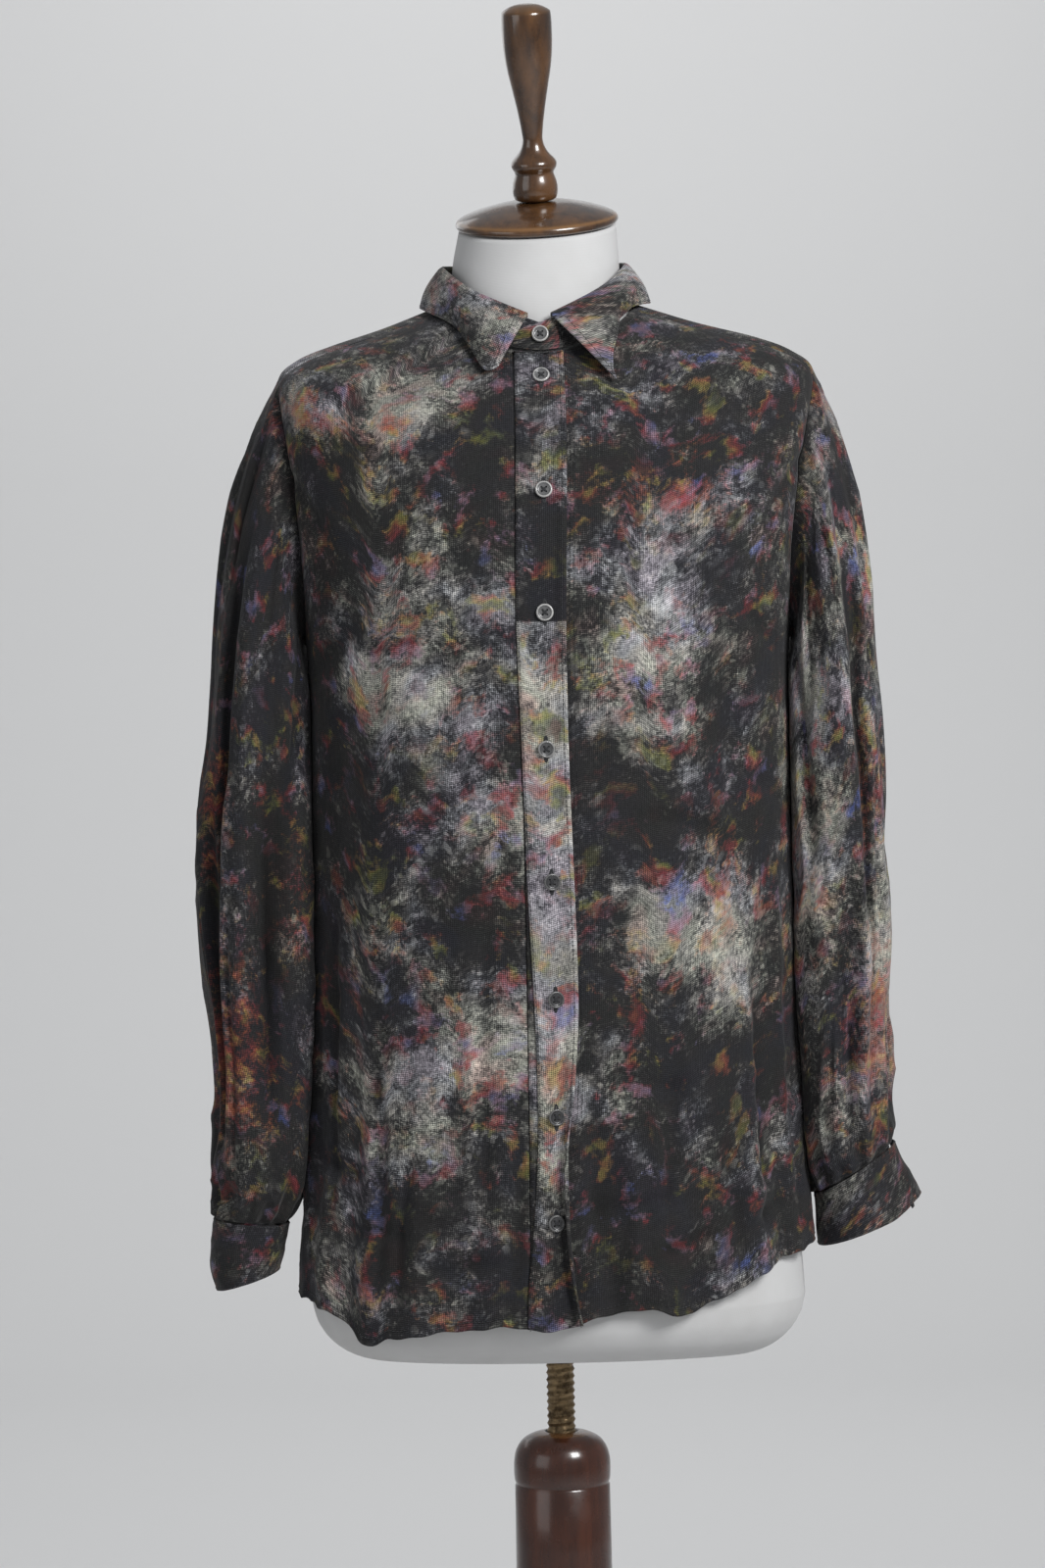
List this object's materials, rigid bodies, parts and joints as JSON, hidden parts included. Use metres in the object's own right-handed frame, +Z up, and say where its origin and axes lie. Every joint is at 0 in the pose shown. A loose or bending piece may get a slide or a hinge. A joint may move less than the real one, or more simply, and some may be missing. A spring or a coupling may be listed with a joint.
{
  "type": "tie-dye shirt on dress form",
  "caption": "Long-sleeved button-front shirt in mottled dyed cotton gauze, with a pointed collar and cuffs, worn by a limbless jersey dress form on a turned wooden stand.",
  "frame": {"origin": "centre of the stand's flat underside, where it rests on the floor", "axes": "+Z up; the shirt's front faces -Y; +X is the wearer's left"},
  "size_m": [0.4957, 0.38, 1.7554],
  "materials": {
    "dyed_cotton": "matte open gauze weave, mottled",
    "button_shell": "polished smoky shell",
    "form_jersey": "matte fine jersey",
    "cap_wood": "turned and lacquered, glossy",
    "pole_wood": "turned and stained, satin",
    "aged_metal": "aged and dull"
  },
  "bodies": {
    "stand": {"base": "pole_wood", "pole": "pole_wood"},
    "form": {"rod": "aged_metal", "ferrule": "aged_metal", "form_torso": "form_jersey", "neck_cap": "cap_wood", "finial": "cap_wood", "front_left": "dyed_cotton", "front_right": "dyed_cotton", "back": "dyed_cotton", "yoke": "dyed_cotton", "button_band": "dyed_cotton", "sleeve_left": "dyed_cotton", "sleeve_right": "dyed_cotton", "cuff_left": "dyed_cotton", "cuff_right": "dyed_cotton", "collar_stand": "dyed_cotton", "collar": "dyed_cotton", "button_1": "button_shell", "button_2": "button_shell", "button_3": "button_shell", "button_4": "button_shell", "button_5": "button_shell", "button_6": "button_shell", "button_7": "button_shell", "button_8": "button_shell", "button_9": "button_shell", "cuff_button_left": "button_shell", "cuff_button_right": "button_shell"}
  },
  "joints": [
    {"name": "form_turn", "type": "hinge", "parent": "stand", "child": "form", "pos_m": [0, 0, 0.772], "axis": [0, 0, 1], "continuous": true}
  ]
}
